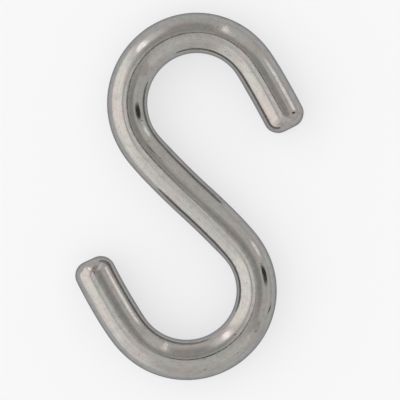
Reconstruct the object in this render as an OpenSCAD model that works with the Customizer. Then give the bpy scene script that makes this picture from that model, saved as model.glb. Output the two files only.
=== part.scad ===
// S hook, bent from one length of round bar and lying flat on its side.
// X runs across the hook, Y along it and Z up. The origin is on the surface that
// the hook lies on, under the middle of its outline.

/* [Bar] */
// Diameter of the straight bar
bar_d = 8; // [6:0.5:12]
// How much the bar's diameter has drawn down round the bends
draw_down = 0.26; // [0.1:0.02:0.8]
// Length over which the bar thins into each end of a bend
taper_len = 1.2; // [0.5:0.1:2.5]
// Radius of the rounded edge at each tip
tip_round = 2.8; // [0.5:0.1:3.8]

/* [Upper hook] */
// Clear diameter inside the upper bend
upper_eye_d = 19.3; // [14:0.1:30]
// Straight length of the upper leg, from its bend to its tip
upper_leg_len = 13.1; // [9:0.1:20]
// Angle between the upper leg and the hook's length
upper_leg_tilt = 28.7; // [10:0.1:45]

/* [Lower hook] */
// Clear diameter inside the lower bend
lower_eye_d = 19.2; // [14:0.1:30]
// Straight length of the lower leg, from its bend to its tip
lower_leg_len = 14.8; // [9:0.1:20]
// Angle between the lower leg and the hook's length
lower_leg_tilt = 30.9; // [10:0.1:45]

/* [Shank] */
// Straight length of the shank between the two bends
shank_len = 23.9; // [14:0.1:60]
// Angle between the shank and the hook's length
shank_tilt = 45.3; // [35:0.1:60]

/* [Hidden] */
$fn = 96;

bar_r = bar_d / 2;
bend_r = bar_r - draw_down / 2;
// Radius of the flat that is always left in the middle of a tip
least_flat_r = 0.15;
tip_r = min(tip_round, bar_r - least_flat_r);
// How far a straight length and a bend run into each other, so that they are one,
// and the taper's radius at its buried end
lap = 0.3;
lap_r = bend_r - (bar_r - bend_r) * lap / taper_len;

// Radius of the bar's centre line round each bend
upper_line_r = upper_eye_d / 2 + bend_r;
lower_line_r = lower_eye_d / 2 + bend_r;

// The upper bend's centre is the start: the shank runs from that bend's lower left
// to the lower bend, whose centre lies on the shank's other side
shank_dir = [sin(shank_tilt), -cos(shank_tilt)];
shank_side = [-cos(shank_tilt), -sin(shank_tilt)];
upper_centre = [0, 0];
shank_top = upper_centre + upper_line_r * shank_side;
shank_bottom = shank_top + shank_len * shank_dir;
lower_centre = shank_bottom + lower_line_r * shank_side;

// How far a tip reaches sideways from the centre of its own bend
function tip_reach(line_r, leg_len, leg_tilt) =
    (line_r + bar_r - tip_r) * cos(leg_tilt) + (leg_len - tip_r) * sin(leg_tilt) + tip_r;

upper_reach = tip_reach(upper_line_r, upper_leg_len, upper_leg_tilt);
lower_reach = tip_reach(lower_line_r, lower_leg_len, lower_leg_tilt);

// The outline's edges, and its middle
right = max(upper_centre.x + upper_reach, lower_centre.x + lower_line_r + bend_r);
left = min(lower_centre.x - lower_reach, upper_centre.x - upper_line_r - bend_r);
top = upper_centre.y + upper_line_r + bend_r;
bottom = lower_centre.y - lower_line_r - bend_r;
middle = [(left + right) / 2, (top + bottom) / 2, 0];

// A leg standing on its bend's end, which starts thin and has a rounded tip
module leg(len) {
    round_from = len - tip_r;
    rotate_extrude() {
        polygon([
            [0, -lap], [lap_r, -lap], [bar_r, taper_len],
            [bar_r, round_from], [0, round_from]
        ]);
        square([bar_r - tip_r, len]);
        translate([bar_r - tip_r, round_from]) intersection() {
            circle(r = tip_r);
            square(tip_r);
        }
    }
}

// The shank, which is thin at both ends
module shank(len) {
    rotate_extrude()
        polygon([
            [0, -lap], [lap_r, -lap], [bar_r, taper_len],
            [bar_r, len - taper_len], [lap_r, len + lap], [0, len + lap]
        ]);
}

// One bend and its leg, about the bend's centre, with the shank's end on the left
module hook_end(line_r, leg_len, leg_tilt) {
    lap_turn = lap / line_r * 180 / PI;
    rotate([0, 0, leg_tilt - lap_turn])
        rotate_extrude(angle = 180 + shank_tilt - leg_tilt + 2 * lap_turn)
            translate([line_r, 0]) circle(r = bend_r);
    rotate([0, 0, leg_tilt]) translate([line_r, 0, 0]) rotate([90, 0, 0]) leg(leg_len);
}

module hook() {
    color([0.66, 0.65, 0.63])
    translate([-middle.x, -middle.y, bar_r]) {
        translate(upper_centre) hook_end(upper_line_r, upper_leg_len, upper_leg_tilt);
        translate(lower_centre) rotate([0, 0, 180])
            hook_end(lower_line_r, lower_leg_len, lower_leg_tilt);
        translate(shank_top) rotate([90, 0, shank_tilt]) shank(shank_len);
    }
}

hook();
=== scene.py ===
"""An S hook bent from polished steel bar, lying flat, seen from straight above."""

import math

import bpy
import numpy as np
from mathutils import Matrix, Vector, noise


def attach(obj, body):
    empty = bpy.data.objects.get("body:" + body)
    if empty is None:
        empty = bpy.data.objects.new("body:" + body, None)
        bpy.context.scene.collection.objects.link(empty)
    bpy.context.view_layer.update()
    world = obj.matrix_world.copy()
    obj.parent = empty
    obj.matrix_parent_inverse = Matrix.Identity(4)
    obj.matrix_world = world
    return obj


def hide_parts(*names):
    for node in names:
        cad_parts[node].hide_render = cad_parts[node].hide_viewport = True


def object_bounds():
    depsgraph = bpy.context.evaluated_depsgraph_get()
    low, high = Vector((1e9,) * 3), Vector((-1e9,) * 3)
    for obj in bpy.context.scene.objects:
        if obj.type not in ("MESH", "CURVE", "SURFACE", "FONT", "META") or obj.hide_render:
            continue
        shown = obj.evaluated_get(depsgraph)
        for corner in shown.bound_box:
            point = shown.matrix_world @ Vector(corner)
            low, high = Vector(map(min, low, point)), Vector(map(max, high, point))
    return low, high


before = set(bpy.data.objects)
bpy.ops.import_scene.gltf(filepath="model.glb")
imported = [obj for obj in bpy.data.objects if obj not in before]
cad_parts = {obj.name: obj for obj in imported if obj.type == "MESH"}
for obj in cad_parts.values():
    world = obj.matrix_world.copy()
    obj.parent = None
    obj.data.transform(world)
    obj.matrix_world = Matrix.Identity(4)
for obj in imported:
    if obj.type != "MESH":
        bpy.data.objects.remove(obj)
cad_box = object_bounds()

MM = 0.001

# The bar, in millimetres, whose radius is half the part's height. It draws in across
# its bends and keeps its height there.
BAR_R = round((cad_box[1][2] - cad_box[0][2]) / MM / 2, 2)
DRAW_IN = 0.13
TIP_ROUND = 2.83

# The bending tools pressed the bar's sides a little flat, which left it four low
# shoulders: how far they stand out, how much more they do inside a bend, and the lean
# from the crest in degrees at which they start and are highest
SHOULDER = 0.09
INNER_SHOULDER = 0.13
SHOULDER_FROM = 26.0
SHOULDER_TOP = 66.0

# Bending thickened the bar towards the inside of each bend, and thinned it outside:
# by this much, of which four tenths show at the most
KEYSTONE = 0.11

# The centre line's two runs from the middle of the shank, each to its own tip:
# the length and the radius of each stretch, all turning clockwise
SHANK_MIDDLE = (1.17, -0.90)
SHANK_SLOPE = math.radians(42.32)
UPPER_RUN = ((13.72, 138.0), (25.27, 13.68), (19.45, 13.14), (14.09, 175.0))
LOWER_RUN = ((11.70, 138.0), (17.78, 13.19), (26.51, 13.61), (15.41, 97.0))

# A stretch of a wider radius than this isn't a bend. The curve and the drawing in are
# eased over these lengths, and the line is worked out in steps of this size.
TIGHTEST_STRAIGHT = 50.0
CURVE_EASE = 3.0
DRAW_EASE = 6.0
FINE_STEP = 0.05

# Rings of the mesh: how far apart they are, their sides, and how many cover a tip's
# rounded edge and the flat face inside it
RING_STEP = 0.17
RING_SIDES = 96
ROUNDING_RINGS = 16
FACE_RINGS = 5

# Waves that bending and tumbling left in the surface: how long they are along the
# bar and across it, and how far they stand out. The tips have stronger ones besides.
WAVES = ((9.0, 4.0, 0.016), (3.0, 1.6, 0.004))
TIP_WAVE_LENGTH = 1.8
TIP_WAVE_HEIGHT = 0.10

# The camera: the photograph's width is this span at the bar's middle height, and AIM is
# the place in its middle. The lens and the sensor are in millimetres too, and how near
# and how far the camera sees in metres.
FIELD = 77.2
LENS = 270.0
SENSOR = 36.0
AIM = (2.04, -0.62)
NEAR_LIMIT = 0.01
FAR_LIMIT = 20.0


def ease(values, length):
    """A moving average over a length of the run."""
    width = int(length / FINE_STEP) | 1
    padded = np.pad(values, width // 2, mode="edge")
    return np.convolve(padded, np.ones(width) / width, mode="valid")


def run_points(heading, stretches):
    """Points, headings and bend weight of one run that starts at the shank's middle."""
    lengths = np.array([length for length, radius in stretches])
    ends = np.cumsum(lengths)
    s = np.arange(0.0, ends[-1], FINE_STEP)
    which = np.minimum(np.searchsorted(ends, s, side="right"), len(stretches) - 1)
    curvature = np.array([1.0 / radius for length, radius in stretches])[which]
    bend = ease((curvature > 1.0 / TIGHTEST_STRAIGHT).astype(float), DRAW_EASE)
    eased = ease(curvature, CURVE_EASE)
    turned = np.concatenate([[0.0], np.cumsum(eased[:-1] * FINE_STEP)])
    angle = heading - turned
    steps = np.stack([np.cos(angle), np.sin(angle)], axis=1) * FINE_STEP
    points = np.array(SHANK_MIDDLE) + np.concatenate([[[0.0, 0.0]], np.cumsum(steps[:-1], axis=0)])
    return points, angle, bend


def centre_line():
    """The whole centre line from the upper tip to the lower one: points, headings and
    bend weight, which is negative where the bar bends to the right."""
    up, up_angle, up_bend = run_points(math.pi - SHANK_SLOPE, UPPER_RUN)
    down, down_angle, down_bend = run_points(-SHANK_SLOPE, LOWER_RUN)
    points = np.concatenate([up[:0:-1], down])
    angle = np.concatenate([up_angle[:0:-1] - math.pi, down_angle])
    bend = np.concatenate([up_bend[:0:-1], -down_bend])
    return points, angle, bend


def tip_rings():
    """Distance from the tip and radius of each ring over a rounded tip, outside first."""
    flat = BAR_R - TIP_ROUND
    turn = np.radians(np.linspace(90.0, 0.0, ROUNDING_RINGS + 1))[1:-1]
    face_r = flat * np.arange(1, FACE_RINGS + 1) / FACE_RINGS
    round_s = TIP_ROUND * (1.0 - np.sin(turn))
    round_r = flat + TIP_ROUND * np.cos(turn)
    return np.concatenate([np.zeros(FACE_RINGS), round_s]), np.concatenate([face_r, round_r])


def bar_rings():
    """Run length, centre, heading, bend weight and half height of each ring."""
    points, angle, bend = centre_line()
    s = np.arange(len(points)) * FINE_STEP
    total = s[-1]
    body_s = np.linspace(TIP_ROUND, total - TIP_ROUND, int((total - 2 * TIP_ROUND) / RING_STEP))
    tip_s, tip_r = tip_rings()
    ring_s = np.concatenate([tip_s, body_s, total - tip_s[::-1]])
    half_height = np.concatenate([tip_r, np.full(len(body_s), BAR_R), tip_r[::-1]])
    centre = np.stack([np.interp(ring_s, s, points[:, axis]) for axis in (0, 1)], axis=1)
    return ring_s, centre, np.interp(ring_s, s, angle), np.interp(ring_s, s, bend), half_height


def wave(s, around, up, along_size, across_size):
    """Smooth noise on the bar's surface, the same all round without a seam."""
    scale = BAR_R / across_size
    return noise.noise(Vector((s / along_size, around * scale, up * scale)))


def surface_waves(ring_s, phi):
    """How far the surface stands out at each ring and side."""
    total = ring_s[-1]
    out = np.zeros((len(ring_s), len(phi)))
    for k, s in enumerate(ring_s):
        tip = max(0.0, 1.0 - min(s, total - s) / TIP_ROUND)
        for j, turn in enumerate(phi):
            around, up = math.cos(turn), math.sin(turn)
            stands = sum(high * wave(s, around, up, far, wide) for far, wide, high in WAVES)
            uneven = wave(s, around, up, TIP_WAVE_LENGTH, TIP_WAVE_LENGTH)
            out[k, j] = stands + tip * TIP_WAVE_HEIGHT * uneven
    return out


def smooth_share(share):
    """A share from 0 to 1, eased at both ends."""
    share = np.clip(share, 0.0, 1.0)
    return share * share * (3.0 - 2.0 * share)


def shoulders(phi, bend):
    """How far the pressed section stands out of a true circle at each ring and side."""
    lean = np.degrees(np.arccos(np.abs(np.sin(phi))))
    rise = smooth_share((lean - SHOULDER_FROM) / (SHOULDER_TOP - SHOULDER_FROM))
    fall = smooth_share((90.0 - lean) / (90.0 - SHOULDER_TOP))
    inside = np.maximum(np.sign(np.cos(phi)) * bend[:, None], 0.0)
    return (SHOULDER + INNER_SHOULDER * inside) * rise * fall


def keystone(phi, bend):
    """How far each ring and side stands out because the bar was bent."""
    return KEYSTONE * bend[:, None] * np.cos(phi) * np.sin(phi) ** 2


def bar_verts(ring_s, centre, angle, bend, half_height):
    """Every ring's points in turn, and then the middle of each tip's face."""
    half_width = half_height - DRAW_IN * np.abs(bend)
    phi = np.linspace(0.0, 2.0 * math.pi, RING_SIDES, endpoint=False) - math.pi / 2
    out = surface_waves(ring_s, phi) + shoulders(phi, bend) + keystone(phi, bend)
    out *= (half_height / BAR_R)[:, None]
    across = (half_width[:, None] + out) * np.cos(phi)
    height = np.maximum((half_height[:, None] + out) * np.sin(phi) + BAR_R, 0.0)
    side = np.stack([-np.sin(angle), np.cos(angle)], axis=1)
    x = centre[:, :1] + side[:, :1] * across
    y = centre[:, 1:] + side[:, 1:] * across
    first_tip = (*centre[0], BAR_R)
    last_tip = (*centre[-1], BAR_R)
    return np.concatenate([np.stack([x, y, height], axis=2).reshape(-1, 3), [first_tip, last_tip]])


def bar_faces(rings):
    """Four-sided faces between the rings, and a fan of triangles on each tip."""
    a = np.arange(RING_SIDES)
    b = (a + 1) % RING_SIDES
    faces = []
    for k in range(rings - 1):
        low, high = k * RING_SIDES, (k + 1) * RING_SIDES
        faces += np.stack([low + a, low + b, high + b, high + a], axis=1).tolist()
    last_ring = (rings - 1) * RING_SIDES
    first_tip = rings * RING_SIDES
    last_tip = first_tip + 1
    faces += np.stack([np.full_like(a, first_tip), b, a], axis=1).tolist()
    faces += np.stack([np.full_like(a, last_tip), last_ring + a, last_ring + b], axis=1).tolist()
    return faces


def build_bar():
    """The bar as one closed mesh of rings, with run length and angle as its UV map."""
    rings = bar_rings()
    ring_s = rings[0]
    mesh = bpy.data.meshes.new("bar")
    mesh.from_pydata((bar_verts(*rings) * MM).tolist(), [], bar_faces(len(ring_s)))
    mesh.validate()
    mesh.shade_smooth()
    add_uv(mesh, ring_s)
    mesh.materials.append(polished_steel(ring_s[-1]))
    bar = bpy.data.objects.new("bar", mesh)
    bpy.context.scene.collection.objects.link(bar)
    return bar


def add_uv(mesh, ring_s):
    """U runs along the bar and V round it from below, both from 0 to 1. Where a face
    meets the seam below from V near 1, its V runs on and doesn't fall back to 0."""
    half_turn = 0.5
    corner = np.empty(len(mesh.loops), dtype=np.int32)
    mesh.loops.foreach_get("vertex_index", corner)
    rings = len(ring_s)
    first_tip = rings * RING_SIDES
    last_tip = first_tip + 1
    ring = np.minimum(corner // RING_SIDES, rings - 1)
    u = ring_s[ring] / ring_s[-1]
    v = (corner % RING_SIDES) / RING_SIDES
    u[corner == first_tip] = 0.0
    u[corner == last_tip] = 1.0
    for face in mesh.polygons:
        span = slice(face.loop_start, face.loop_start + face.loop_total)
        if v[span].max() - v[span].min() > half_turn:
            v[span] = np.where(v[span] < half_turn, v[span] + 1.0, v[span])
    layer = mesh.uv_layers.new(name="bar")
    layer.data.foreach_set("uv", np.stack([u, v], axis=1).astype(np.float32).ravel())


class Nodes:
    """A short way to add and join shader nodes."""

    def __init__(self, tree):
        self.tree = tree
        tree.nodes.clear()

    def add(self, kind, inputs=None, **settings):
        """A new node, with its settings made and its inputs filled."""
        node = self.tree.nodes.new(kind)
        for name, value in settings.items():
            setattr(node, name, value)
        for name, value in (inputs or {}).items():
            self.put(node.inputs[name], value)
        return node

    def put(self, socket, value):
        """Fills an input with another node's output or with a plain value."""
        if isinstance(value, bpy.types.NodeSocket):
            self.tree.links.new(value, socket)
        else:
            socket.default_value = value

    def math(self, operation, *values):
        node = self.add("ShaderNodeMath", operation=operation)
        for socket, value in zip(node.inputs, values):
            self.put(socket, value)
        return node.outputs[0]

    def ramp(self, value, low, high, to_low=0.0, to_high=1.0, smooth=False):
        """Goes from to_low to to_high as the value goes from low to high."""
        kind = "SMOOTHSTEP" if smooth else "LINEAR"
        node = self.add("ShaderNodeMapRange", interpolation_type=kind)
        for socket, number in zip(node.inputs, (value, low, high, to_low, to_high)):
            self.put(socket, number)
        return node.outputs[0]

    def mix(self, weight, low, high):
        """The colour low where the weight is 0, and high where it is 1."""
        node = self.add("ShaderNodeMix", data_type="RGBA")
        self.put(node.inputs["Factor"], weight)
        self.put(node.inputs["A"], low)
        self.put(node.inputs["B"], high)
        return node.outputs["Result"]

    def noise(self, place, scale, turn=0.0, detail=2.0):
        """Noise of a place in millimetres, after a turn and a scale of each axis."""
        moved = self.add("ShaderNodeMapping", {"Vector": place, "Rotation": (0, 0, turn)})
        sized = self.add("ShaderNodeMapping", {"Vector": moved.outputs[0], "Scale": scale})
        return self.add("ShaderNodeTexNoise", {
            "Vector": sized.outputs[0], "Scale": 1.0, "Detail": detail,
        }).outputs["Fac"]

    def reach(self, name, place, middle, turn, half_sizes):
        """How far a place is from an oval spot's middle, with 1 on the spot's outline."""
        inside = self.add("ShaderNodeMapping", {
            "Vector": place, "Location": middle, "Rotation": turn, "Scale": half_sizes,
        }, vector_type="TEXTURE", label=name)
        length = self.add("ShaderNodeVectorMath", {0: inside.outputs[0]}, operation="LENGTH")
        return length.outputs["Value"]


# The steel's own colour in its warm and cool patches, the tints of its worn places and
# nicks, and the tint at grazing angles
STEEL_WARM = (0.418, 0.391, 0.377, 1.0)
STEEL_COOL = (0.386, 0.398, 0.379, 1.0)
STEEL_WORN = (0.290, 0.280, 0.270, 1.0)
STEEL_NICK = (0.060, 0.056, 0.052, 1.0)
STEEL_EDGE = (0.41, 0.42, 0.47, 1.0)

# How many cells each texture of the finish has in a millimetre: the same each way, or
# along and round the bar
PATCHES = (0.22, 0.22, 0.22)
CLOUDS = (0.9, 0.9, 0.9)
MOTTLE = (3.2, 3.2, 3.2)
SPECKS = (5.5, 5.5, 5.5)
GRAIN = (0.12, 3.0, 1.0)
SCRATCHES = (0.16, 4.5, 1.0)
PITS = 0.55

# The turns of the scratches out of the bar's run, in radians
SCRATCH_TURNS = (0.35, -0.6, 1.25)

# The values between which each texture goes from none to full. Pits and nicks fade out
# between two distances from their middle, in cells and in half sizes, and only the cells
# whose random number is high have a pit.
PATCH_SPAN = (0.35, 0.65)
CLOUD_SPAN = (0.3, 0.7)
SCRATCH_SPAN = (0.70, 0.76)
PIT_SPAN = (0.05, 0.16)
PITTED_CELLS = (0.55, 0.60)
HAZE_SPAN = (0.2, 0.5)
WEAR_SPAN = (0.4, 0.65)
NICK_SPAN = (0.4, 1.5)

# How much of the worn tint each texture brings at its full strength
PIT_WEAR = 0.8
SCRATCH_WEAR = 0.18
HAZE_WEAR = 0.4
SPECK_WEAR = 0.25
GRAIN_WEAR = 0.30

# The depth of the finest relief in millimetres, and each texture's share in it
RELIEF = 0.005
GRAIN_RELIEF = 1.2
MOTTLE_RELIEF = 0.45
NICK_RELIEF = 1.5
PIT_RELIEF = 2.0
SCRATCH_RELIEF = 0.25

# How rough the clean steel is, and what the clouds and scratches add to that
CLEAN_ROUGH = 0.07
CLOUD_ROUGH = 0.06
SCRATCH_ROUGH = 0.08

# Small nicks and dots that show on the hook's upper side: the distance along the bar
# from the upper tip, the lean from the crest to the left of that run in degrees, half
# the length and half the width, the turn out of the run in degrees, and how dark it is
NICKS = (
    ("long nick", 96.9, 46, 0.80, 0.15, 11, 1.0),
    ("nick on the shank", 87.7, -48, 0.36, 0.10, 0, 0.8),
    ("dot by the lower crest", 103.9, -15, 0.34, 0.12, 25, 0.7),
    ("dot outside the lower bend", 101.1, 29, 0.20, 0.15, 0, 0.7),
    ("faint scuff", 99.8, 25, 0.34, 0.25, 0, 0.25),
    ("rub outside the lower bend", 101.6, 52, 2.0, 0.35, 0, 0.22),
    ("scratch on the lower crest", 111.7, 0, 0.40, 0.09, 5, 0.6),
    ("dot low on the lower bend", 105.9, 31, 0.16, 0.13, 0, 0.6),
    ("dot before the lower leg", 112.1, 33, 0.20, 0.13, 0, 0.6),
    ("dot on the upper bend", 20.5, 36, 0.18, 0.13, 0, 0.5),
    ("dot at the lower tip", 141.3, -1, 0.17, 0.15, 0, 0.9),
    ("mottle on the lower tip", 142.0, -4, 0.20, 0.40, 20, 0.35),
    ("streak at the head of the shank", 59.3, 15, 1.25, 0.16, 1, 0.6),
    ("tail of that streak", 61.6, 17, 1.5, 0.14, 2, 0.2),
)


def nick_marks(n, unrolled):
    """How strongly each place on the unrolled bar is nicked, from 0 to 1."""
    marks = 0.0
    for name, run, lean, long, wide, turn, depth in NICKS:
        middle = (run, (math.pi - math.radians(lean)) * BAR_R, 0.0)
        reach = n.reach(name, unrolled, middle, (0.0, 0.0, math.radians(turn)), (long, wide, 1.0))
        marks = n.math("MAXIMUM", marks, n.ramp(reach, *NICK_SPAN, depth, 0.0, smooth=True))
    return marks


def scratch_lines(n, unrolled):
    """Faint scratches in a few directions, from 0 to 1."""
    scratches = 0.0
    for turn in SCRATCH_TURNS:
        lines = n.noise(unrolled, SCRATCHES, turn=turn, detail=0.0)
        scratches = n.math("MAXIMUM", scratches, n.ramp(lines, *SCRATCH_SPAN))
    return scratches


def pit_spots(n, place):
    """Small round pits, strewn at random, from 0 to 1."""
    cells = n.add("ShaderNodeTexVoronoi", {"Vector": place, "Scale": PITS})
    random = n.add("ShaderNodeSeparateColor", {"Color": cells.outputs["Color"]}).outputs[0]
    spot = n.ramp(cells.outputs["Distance"], *PIT_SPAN, 1.0, 0.0, smooth=True)
    return n.math("MULTIPLY", spot, n.ramp(random, *PITTED_CELLS))


def polished_steel(run_length):
    """Polished bar with a faint draw grain along it, small scuffs and pits."""
    material = bpy.data.materials.new("polished_steel")
    material.use_nodes = True
    n = Nodes(material.node_tree)
    unrolled = n.add("ShaderNodeMapping", {
        "Vector": n.add("ShaderNodeUVMap", uv_map="bar").outputs[0],
        "Scale": (run_length, 2 * math.pi * BAR_R, 1.0),
    }).outputs[0]
    place = n.add("ShaderNodeMapping", {
        "Vector": n.add("ShaderNodeTexCoord").outputs["Object"],
        "Scale": (1 / MM, 1 / MM, 1 / MM),
    }).outputs[0]

    patch = n.ramp(n.noise(place, PATCHES), *PATCH_SPAN, smooth=True)
    cloud = n.ramp(n.noise(place, CLOUDS, detail=3.0), *CLOUD_SPAN)
    grain = n.noise(unrolled, GRAIN, detail=3.0)
    mottle = n.noise(place, MOTTLE, detail=1.0)
    speck = n.noise(place, SPECKS, detail=1.0)
    scratches = scratch_lines(n, unrolled)
    pits = pit_spots(n, place)
    nicks = nick_marks(n, unrolled)

    haze = n.ramp(n.math("MULTIPLY", cloud, mottle), *HAZE_SPAN, 0.0, HAZE_WEAR)
    worn = n.math("MULTIPLY_ADD", pits, PIT_WEAR, n.math("MULTIPLY", scratches, SCRATCH_WEAR))
    worn = n.math("ADD", worn, haze)
    for texture, wear in ((speck, SPECK_WEAR), (grain, GRAIN_WEAR)):
        worn = n.math("ADD", worn, n.ramp(texture, *WEAR_SPAN, 0.0, wear))
    colour = n.mix(worn, n.mix(patch, STEEL_COOL, STEEL_WARM), STEEL_WORN)
    colour = n.mix(nicks, colour, STEEL_NICK)

    height = n.math("MULTIPLY_ADD", grain, GRAIN_RELIEF, n.math("MULTIPLY", mottle, MOTTLE_RELIEF))
    for dent, depth in ((nicks, NICK_RELIEF), (pits, PIT_RELIEF), (scratches, SCRATCH_RELIEF)):
        height = n.math("SUBTRACT", height, n.math("MULTIPLY", dent, depth))
    bump = n.add("ShaderNodeBump", {"Height": height, "Distance": RELIEF * MM, "Strength": 1.0})

    rough = n.math("MULTIPLY_ADD", cloud, CLOUD_ROUGH, CLEAN_ROUGH)
    rough = n.math("ADD", rough, n.math("MULTIPLY", scratches, SCRATCH_ROUGH))
    shader = n.add("ShaderNodeBsdfPrincipled", {
        "Metallic": 1.0,
        "Base Color": colour,
        "Roughness": rough,
        "Specular Tint": STEEL_EDGE,
        "Normal": bump.outputs[0],
    })
    out = n.add("ShaderNodeOutputMaterial")
    n.put(out.inputs["Surface"], shader.outputs["BSDF"])
    return material


# The studio is a pale tent round the hook, of one colour and level between its panels.
# Each panel, lamp or gap is given by the compass angle from +X, the tilt from straight
# up, the half sizes along and across that tilt, all in degrees, the softness of its edge
# and its colour. A later one lies over those before it.
TENT = (0.61, 0.59, 0.575)
TENT_LEVEL = 1.50
PANELS = (
    ("left wall", 188, 80, 47, 46, 0.22, (1.12, 1.08, 1.04)),
    ("foot of the left wall", 225, 88, 14, 26, 0.6, (0.97, 0.94, 0.91)),
    ("front corner", 232, 53, 30, 12, 0.6, (0.88, 0.86, 0.84)),
    ("far wall", 98, 36, 26, 22, 0.35, (0.41, 0.40, 0.39)),
    ("roof, right side", 8, 20, 15, 30, 0.45, (0.37, 0.36, 0.35)),
    ("roof, left side", 195, 15, 9, 13, 0.5, (0.84, 0.82, 0.80)),
    ("roof, front", 281, 31, 22, 22, 0.5, (0.67, 0.65, 0.63)),
    ("front right wall", 308, 48, 20, 15, 0.3, (0.70, 0.67, 0.66)),
    ("right seam", 331, 50, 16, 4, 0.5, (0.46, 0.45, 0.44)),
    ("left seam", 185, 27, 3, 17, 0.5, (0.50, 0.48, 0.47)),
    ("far glow", 60, 46, 21, 9, 0.5, (0.68, 0.66, 0.65)),
    ("right side, low down", 20, 92, 14, 60, 0.5, (0.54, 0.52, 0.51)),
    ("left lamp glow", 130, 57, 18, 12, 0.6, (0.84, 0.80, 0.79)),
    ("left lamp", 133, 56, 14, 4.2, 0.4, (1.55, 1.5, 1.49)),
    ("far lamp", 69, 55, 19, 1.4, 0.5, (1.45, 1.35, 1.34)),
    ("right lamp", 30, 67, 7.6, 5, 0.3, (1.14, 1.11, 1.09)),
    ("cable", 352, 59, 1.2, 14, 0.5, (0.45, 0.44, 0.43)),
    ("opening", 10.5, 57, 10.5, 6.4, 0.28, (0.04, 0.04, 0.035)),
    ("camera", 135, 2.7, 3.1, 3.4, 0.4, (0.06, 0.06, 0.06)),
)


def tent_world():
    """The pale tent that lights the hook and shows in its polish."""
    world = bpy.data.worlds.new("tent")
    world.use_nodes = True
    bpy.context.scene.world = world
    n = Nodes(world.node_tree)
    direction = n.add("ShaderNodeTexCoord").outputs["Generated"]
    colour = (*TENT, 1.0)
    for name, compass, tilt, tall, wide, soft, level in PANELS:
        lean = Matrix.Rotation(math.radians(tilt), 3, "Y")
        turn = Matrix.Rotation(math.radians(compass), 3, "Z") @ lean
        half_sizes = (math.radians(tall), math.radians(wide), 1.0)
        middle = turn @ Vector((0.0, 0.0, 1.0))
        reach = n.reach(name, direction, middle, turn.to_euler("XYZ"), half_sizes)
        mask = n.ramp(reach, 1.0 - soft, 1.0 + soft, 1.0, 0.0, smooth=True)
        colour = n.mix(mask, colour, (*level, 1.0))
    back = n.add("ShaderNodeBackground", {"Color": colour, "Strength": TENT_LEVEL})
    out = n.add("ShaderNodeOutputWorld")
    n.put(out.inputs["Surface"], back.outputs[0])


# The floor's colour, the share of it that shows as plain white through the shadow on
# it, to the eye and in the steel, and half its width in metres
FLOOR_COLOUR = (0.83, 0.86, 0.89, 1.0)
FLOOR_WHITE = (1.0, 1.0, 1.0, 1.0)
FLOOR_GLOW = 0.60
FLOOR_HALF = 3.0


def pale_floor():
    """The plain white sheet that the hook lies on, with its shadow."""
    mesh = bpy.data.meshes.new("floor")
    half = FLOOR_HALF
    corners = [(-half, -half, 0), (half, -half, 0), (half, half, 0), (-half, half, 0)]
    mesh.from_pydata(corners, [], [(0, 1, 2, 3)])
    floor = bpy.data.objects.new("floor", mesh)
    bpy.context.scene.collection.objects.link(floor)
    material = bpy.data.materials.new("pale_floor")
    material.use_nodes = True
    n = Nodes(material.node_tree)
    ray = n.add("ShaderNodeLightPath").outputs
    seen = n.math("MAXIMUM", ray["Is Camera Ray"], ray["Is Glossy Ray"])
    seen = n.math("MAXIMUM", seen, ray["Is Transmission Ray"])
    sheet = n.add("ShaderNodeBsdfDiffuse", {"Color": FLOOR_COLOUR})
    glow = n.add("ShaderNodeEmission", {"Color": FLOOR_WHITE, "Strength": 1.0})
    shader = n.add("ShaderNodeMixShader", {
        0: n.math("MULTIPLY", seen, FLOOR_GLOW), 1: sheet.outputs[0], 2: glow.outputs[0],
    })
    out = n.add("ShaderNodeOutputMaterial")
    n.put(out.inputs["Surface"], shader.outputs[0])
    mesh.materials.append(material)


def camera():
    """A long lens that looks straight down, with +Y up in the picture."""
    data = bpy.data.cameras.new("camera")
    data.lens = LENS
    data.sensor_width = SENSOR
    data.clip_start = NEAR_LIMIT
    data.clip_end = FAR_LIMIT
    view = bpy.data.objects.new("camera", data)
    height = BAR_R + FIELD * LENS / SENSOR
    view.location = (AIM[0] * MM, AIM[1] * MM, height * MM)
    bpy.context.scene.collection.objects.link(view)
    bpy.context.scene.camera = view


camera()
tent_world()
pale_floor()
bar = build_bar()
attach(bar, "root")
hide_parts("hook")

bpy.context.scene.view_settings.view_transform = "Standard"
